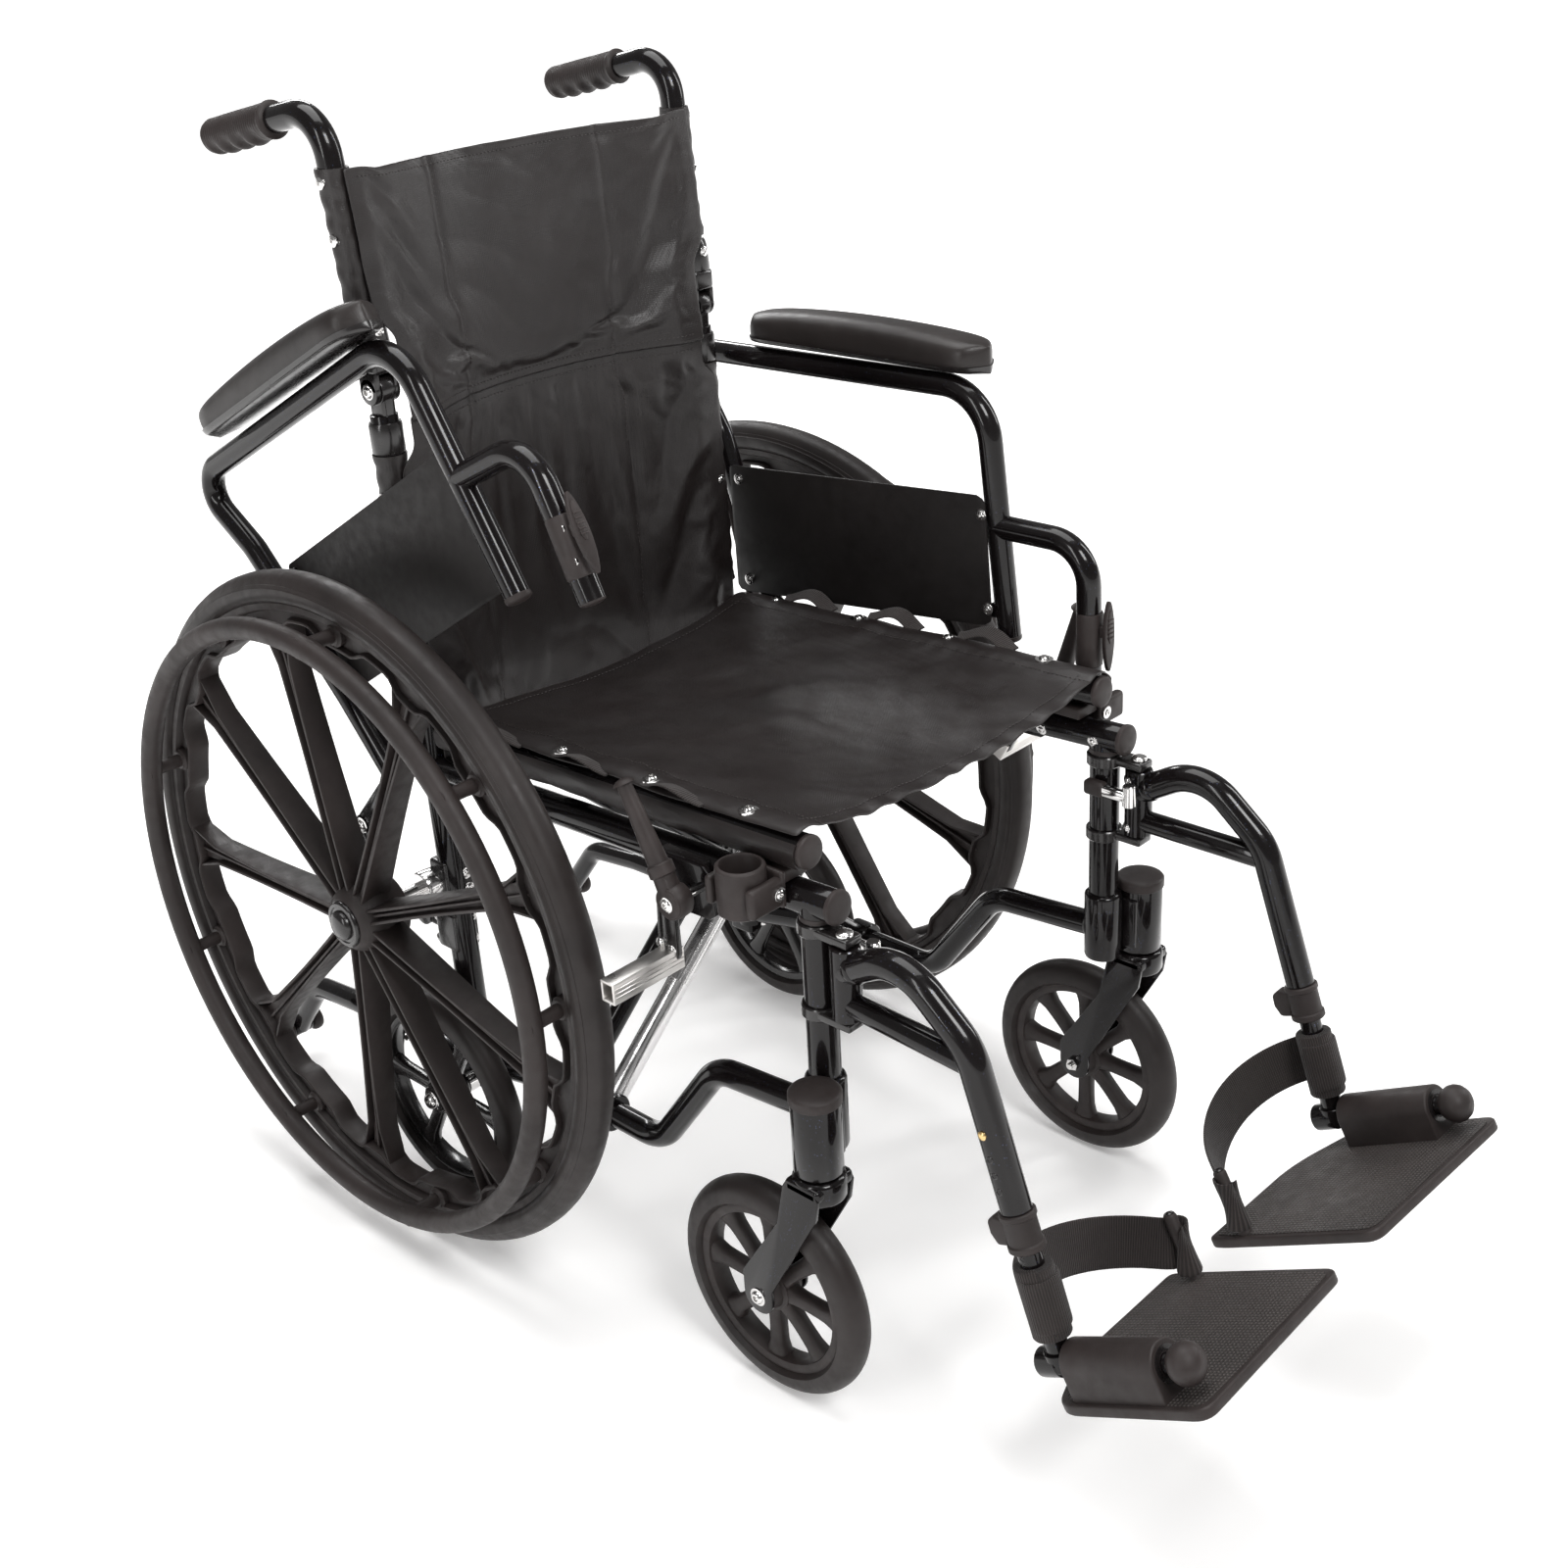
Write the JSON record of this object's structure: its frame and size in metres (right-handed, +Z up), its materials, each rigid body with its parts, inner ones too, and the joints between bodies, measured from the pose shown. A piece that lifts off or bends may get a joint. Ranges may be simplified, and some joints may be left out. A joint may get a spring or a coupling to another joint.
{
  "type": "manual wheelchair",
  "caption": "Folding manual wheelchair with push-rim rear wheels, small transport wheels, flip-back arms, swing-away footrests, half-folding back and a cross-braced frame.",
  "frame": {"origin": "on the floor, under the middle of the chair's outline: midway between the push wheels and 247.37 mm in front of their axle", "axes": "+Z up; the chair faces -Y; the occupant's right side is at -X"},
  "size_m": [0.629, 1.1048, 0.9614],
  "materials": {
    "frame_paint": "gloss black powder coat with a fine sparkle",
    "moulded_black": "moulded, lightly textured",
    "rubber": "solid tyre, satin",
    "pad_vinyl": "self-skinned foam, semi-matt",
    "nylon": "woven nylon with a low sheen",
    "webbing": "ribbed webbing",
    "chrome": "polished plating",
    "aluminium": "brushed extrusion"
  },
  "bodies": {
    "side_frame_right": {"side_frame_right": "frame_paint", "arm_socket_right": "moulded_black", "lock_body_right": "frame_paint", "back_upholstery_lower": "nylon"},
    "brace_outer": {"brace_outer": "frame_paint", "brace_bolt": "chrome"},
    "brace_inner": {"brace_inner": "frame_paint"},
    "side_frame_left": {"side_frame_left": "frame_paint", "arm_socket_left": "moulded_black", "lock_body_left": "frame_paint"},
    "seat": {"seat_upholstery": "nylon"},
    "caster_fork_right": {"caster_fork_right": "frame_paint"},
    "caster_wheel_right": {"caster_wheel_right": "moulded_black"},
    "wheel_axle_right": {"wheel_axle_right": "chrome"},
    "push_wheel_right": {"wheel_rim_right": "moulded_black", "wheel_tyre_right": "rubber", "handrim_right": "moulded_black"},
    "transport_wheel_right": {"transport_wheel_right": "moulded_black"},
    "antitip_tube_right": {"antitip_tube_right": "frame_paint"},
    "antitip_wheels_right": {"antitip_wheel_right_inner": "moulded_black", "antitip_wheel_right_outer": "moulded_black"},
    "armrest_right": {"arm_tube_right": "frame_paint", "arm_pad_right": "pad_vinyl", "arm_panel_right": "moulded_black"},
    "arm_latch_right": {"arm_latch_right": "moulded_black"},
    "hanger_right": {"hanger_right": "frame_paint"},
    "hanger_latch_right": {"hanger_latch_right": "chrome"},
    "leg_extension_right": {"leg_extension_right": "frame_paint", "heel_loop_right": "webbing"},
    "footplate_right": {"footplate_right": "moulded_black"},
    "lock_handle_right": {"lock_handle_right": "moulded_black"},
    "lock_shoe_right": {"lock_shoe_right": "aluminium"},
    "back_cane_right": {"back_cane_right": "frame_paint", "push_grip_right": "moulded_black", "back_upholstery_upper": "nylon"},
    "back_latch_right": {"back_latch_right": "chrome"},
    "caster_fork_left": {"caster_fork_left": "frame_paint"},
    "caster_wheel_left": {"caster_wheel_left": "moulded_black"},
    "wheel_axle_left": {"wheel_axle_left": "chrome"},
    "push_wheel_left": {"wheel_rim_left": "moulded_black", "wheel_tyre_left": "rubber", "handrim_left": "moulded_black"},
    "transport_wheel_left": {"transport_wheel_left": "moulded_black"},
    "antitip_tube_left": {"antitip_tube_left": "frame_paint"},
    "antitip_wheels_left": {"antitip_wheel_left_inner": "moulded_black", "antitip_wheel_left_outer": "moulded_black"},
    "armrest_left": {"arm_tube_left": "frame_paint", "arm_pad_left": "pad_vinyl", "arm_panel_left": "moulded_black"},
    "arm_latch_left": {"arm_latch_left": "moulded_black"},
    "hanger_left": {"hanger_left": "frame_paint"},
    "hanger_latch_left": {"hanger_latch_left": "chrome"},
    "leg_extension_left": {"leg_extension_left": "frame_paint", "heel_loop_left": "webbing"},
    "footplate_left": {"footplate_left": "moulded_black"},
    "lock_handle_left": {"lock_handle_left": "moulded_black"},
    "lock_shoe_left": {"lock_shoe_left": "aluminium"},
    "back_cane_left": {"back_cane_left": "frame_paint", "push_grip_left": "moulded_black"},
    "back_latch_left": {"back_latch_left": "chrome"}
  },
  "joints": [
    {"name": "frame_fold", "type": "hinge", "parent": "side_frame_right", "child": "brace_outer", "pos_m": [-0.177, 0.07837, 0.142], "axis": [0, -1, 0], "range_deg": [0, 30.5], "deforming": ["seat_upholstery", "back_upholstery_lower", "back_upholstery_upper"]},
    {"name": "brace_cross", "type": "hinge", "parent": "brace_outer", "child": "brace_inner", "pos_m": [0, 0.07837, 0.29988], "axis": [0, -1, 0], "range_deg": [-61, 0]},
    {"name": "left_frame_pivot", "type": "hinge", "parent": "brace_inner", "child": "side_frame_left", "pos_m": [0.177, 0.07837, 0.142], "axis": [0, -1, 0], "range_deg": [0, 30.5]},
    {"name": "seat_level", "type": "hinge", "parent": "brace_inner", "child": "seat", "pos_m": [-0.1775, 0.07837, 0.45777], "axis": [0, -1, 0], "range_deg": [0, 30.5]},
    {"name": "caster_swivel_right", "type": "hinge", "parent": "side_frame_right", "child": "caster_fork_right", "pos_m": [-0.207, -0.21763, 0.225], "axis": [0, 0, 1], "continuous": true},
    {"name": "caster_spin_right", "type": "hinge", "parent": "caster_fork_right", "child": "caster_wheel_right", "pos_m": [-0.207, -0.16463, 0.093], "axis": [1, 0, 0], "continuous": true},
    {"name": "wheel_release_right", "type": "slide", "parent": "side_frame_right", "child": "wheel_axle_right", "axis": [-1, 0, 0], "range_m": [0, 0.14]},
    {"name": "wheel_spin_right", "type": "hinge", "parent": "wheel_axle_right", "child": "push_wheel_right", "pos_m": [-0.264, 0.24737, 0.305], "axis": [1, 0, 0], "continuous": true},
    {"name": "transport_wheel_spin_right", "type": "hinge", "parent": "side_frame_right", "child": "transport_wheel_right", "pos_m": [-0.219, 0.23137, 0.107], "axis": [1, 0, 0], "continuous": true},
    {"name": "antitip_slide_right", "type": "slide", "parent": "side_frame_right", "child": "antitip_tube_right", "axis": [0, 0.9997, -0.0235], "range_m": [0, 0.03]},
    {"name": "antitip_wheel_spin_right", "type": "hinge", "parent": "antitip_tube_right", "child": "antitip_wheels_right", "pos_m": [-0.185, 0.53237, 0.043], "axis": [1, 0, 0], "continuous": true},
    {"name": "arm_flip_right", "type": "hinge", "parent": "side_frame_right", "child": "armrest_right", "pos_m": [-0.211, 0.28537, 0.257], "axis": [-1, 0, 0], "range_deg": [-26, 20]},
    {"name": "arm_latch_right", "type": "hinge", "parent": "armrest_right", "child": "arm_latch_right", "pos_m": [-0.211, -0.01803, 0.68313], "axis": [1, 0, 0], "range_deg": [0, 6]},
    {"name": "hanger_swing_right", "type": "hinge", "parent": "side_frame_right", "child": "hanger_right", "pos_m": [-0.182, -0.23063, 0.38], "axis": [0, 0, -1], "range_deg": [0, 90]},
    {"name": "hanger_release_right", "type": "hinge", "parent": "hanger_right", "child": "hanger_latch_right", "pos_m": [-0.159, -0.23663, 0.39], "axis": [0, 0, -1], "range_deg": [0, 12]},
    {"name": "leg_length_right", "type": "slide", "parent": "hanger_right", "child": "leg_extension_right", "axis": [0, -0.3201, -0.9474], "range_m": [0, 0.05]},
    {"name": "footplate_flip_right", "type": "hinge", "parent": "leg_extension_right", "child": "footplate_right", "pos_m": [-0.187, -0.46611, 0.17409], "axis": [0, -0.8746, 0.4848], "range_deg": [0, 93.03], "deforming": ["heel_loop_right"]},
    {"name": "wheel_lock_right", "type": "hinge", "parent": "side_frame_right", "child": "lock_handle_right", "pos_m": [-0.231, -0.11063, 0.424], "axis": [1, 0, 0], "range_deg": [0, 45]},
    {"name": "lock_shoe_swing_right", "type": "hinge", "parent": "side_frame_right", "child": "lock_shoe_right", "pos_m": [-0.216, -0.08863, 0.412], "axis": [1, 0, 0], "range_deg": [0, 29]},
    {"name": "back_fold", "type": "hinge", "parent": "side_frame_right", "child": "back_cane_right", "pos_m": [-0.177, 0.24737, 0.742], "axis": [-1, 0, 0], "range_deg": [0, 90], "deforming": ["back_upholstery_lower", "back_upholstery_upper"]},
    {"name": "back_release_right", "type": "hinge", "parent": "back_cane_right", "child": "back_latch_right", "pos_m": [-0.177, 0.26337, 0.77], "axis": [1, 0, 0], "range_deg": [0, 8]},
    {"name": "caster_swivel_left", "type": "hinge", "parent": "side_frame_left", "child": "caster_fork_left", "pos_m": [0.207, -0.21763, 0.225], "axis": [0, 0, 1], "continuous": true},
    {"name": "caster_spin_left", "type": "hinge", "parent": "caster_fork_left", "child": "caster_wheel_left", "pos_m": [0.207, -0.16463, 0.093], "axis": [1, 0, 0], "continuous": true},
    {"name": "wheel_release_left", "type": "slide", "parent": "side_frame_left", "child": "wheel_axle_left", "axis": [1, 0, 0], "range_m": [0, 0.14]},
    {"name": "wheel_spin_left", "type": "hinge", "parent": "wheel_axle_left", "child": "push_wheel_left", "pos_m": [0.264, 0.24737, 0.305], "axis": [1, 0, 0], "continuous": true},
    {"name": "transport_wheel_spin_left", "type": "hinge", "parent": "side_frame_left", "child": "transport_wheel_left", "pos_m": [0.219, 0.23137, 0.107], "axis": [1, 0, 0], "continuous": true},
    {"name": "antitip_slide_left", "type": "slide", "parent": "side_frame_left", "child": "antitip_tube_left", "axis": [0, 0.9997, -0.0235], "range_m": [0, 0.03]},
    {"name": "antitip_wheel_spin_left", "type": "hinge", "parent": "antitip_tube_left", "child": "antitip_wheels_left", "pos_m": [0.185, 0.53237, 0.043], "axis": [1, 0, 0], "continuous": true},
    {"name": "arm_flip_left", "type": "hinge", "parent": "side_frame_left", "child": "armrest_left", "pos_m": [0.211, 0.28537, 0.257], "axis": [-1, 0, 0], "range_deg": [0, 46]},
    {"name": "arm_latch_left", "type": "hinge", "parent": "armrest_left", "child": "arm_latch_left", "pos_m": [0.211, -0.17413, 0.507], "axis": [1, 0, 0], "range_deg": [0, 6]},
    {"name": "hanger_swing_left", "type": "hinge", "parent": "side_frame_left", "child": "hanger_left", "pos_m": [0.182, -0.23063, 0.38], "axis": [0, 0, 1], "range_deg": [0, 90]},
    {"name": "hanger_release_left", "type": "hinge", "parent": "hanger_left", "child": "hanger_latch_left", "pos_m": [0.159, -0.23663, 0.39], "axis": [0, 0, 1], "range_deg": [0, 12]},
    {"name": "leg_length_left", "type": "slide", "parent": "hanger_left", "child": "leg_extension_left", "axis": [0, -0.3201, -0.9474], "range_m": [0, 0.05]},
    {"name": "footplate_flip_left", "type": "hinge", "parent": "leg_extension_left", "child": "footplate_left", "pos_m": [0.187, -0.46611, 0.17409], "axis": [0, 0.8746, -0.4848], "range_deg": [0, 93.03], "deforming": ["heel_loop_left"]},
    {"name": "wheel_lock_left", "type": "hinge", "parent": "side_frame_left", "child": "lock_handle_left", "pos_m": [0.231, -0.11063, 0.424], "axis": [1, 0, 0], "range_deg": [-45, 0]},
    {"name": "lock_shoe_swing_left", "type": "hinge", "parent": "side_frame_left", "child": "lock_shoe_left", "pos_m": [0.216, -0.08863, 0.412], "axis": [1, 0, 0], "range_deg": [-29, 0]},
    {"name": "back_fold_left", "type": "hinge", "parent": "side_frame_left", "child": "back_cane_left", "pos_m": [0.177, 0.24737, 0.742], "axis": [-1, 0, 0], "range_deg": [0, 90]},
    {"name": "back_release_left", "type": "hinge", "parent": "back_cane_left", "child": "back_latch_left", "pos_m": [0.177, 0.26337, 0.77], "axis": [1, 0, 0], "range_deg": [0, 8]}
  ],
  "couplings": [
    {"joint": "brace_cross", "follows": "frame_fold", "ratio": -2},
    {"joint": "left_frame_pivot", "follows": "frame_fold", "ratio": 1},
    {"joint": "seat_level", "follows": "frame_fold", "ratio": 1},
    {"joint": "footplate_flip_right", "follows": "frame_fold", "ratio": 3.05},
    {"joint": "lock_shoe_swing_right", "follows": "wheel_lock_right", "ratio": 0.64444},
    {"joint": "footplate_flip_left", "follows": "frame_fold", "ratio": 3.05},
    {"joint": "lock_shoe_swing_left", "follows": "wheel_lock_left", "ratio": 0.64444},
    {"joint": "back_fold_left", "follows": "back_fold", "ratio": 1}
  ]
}
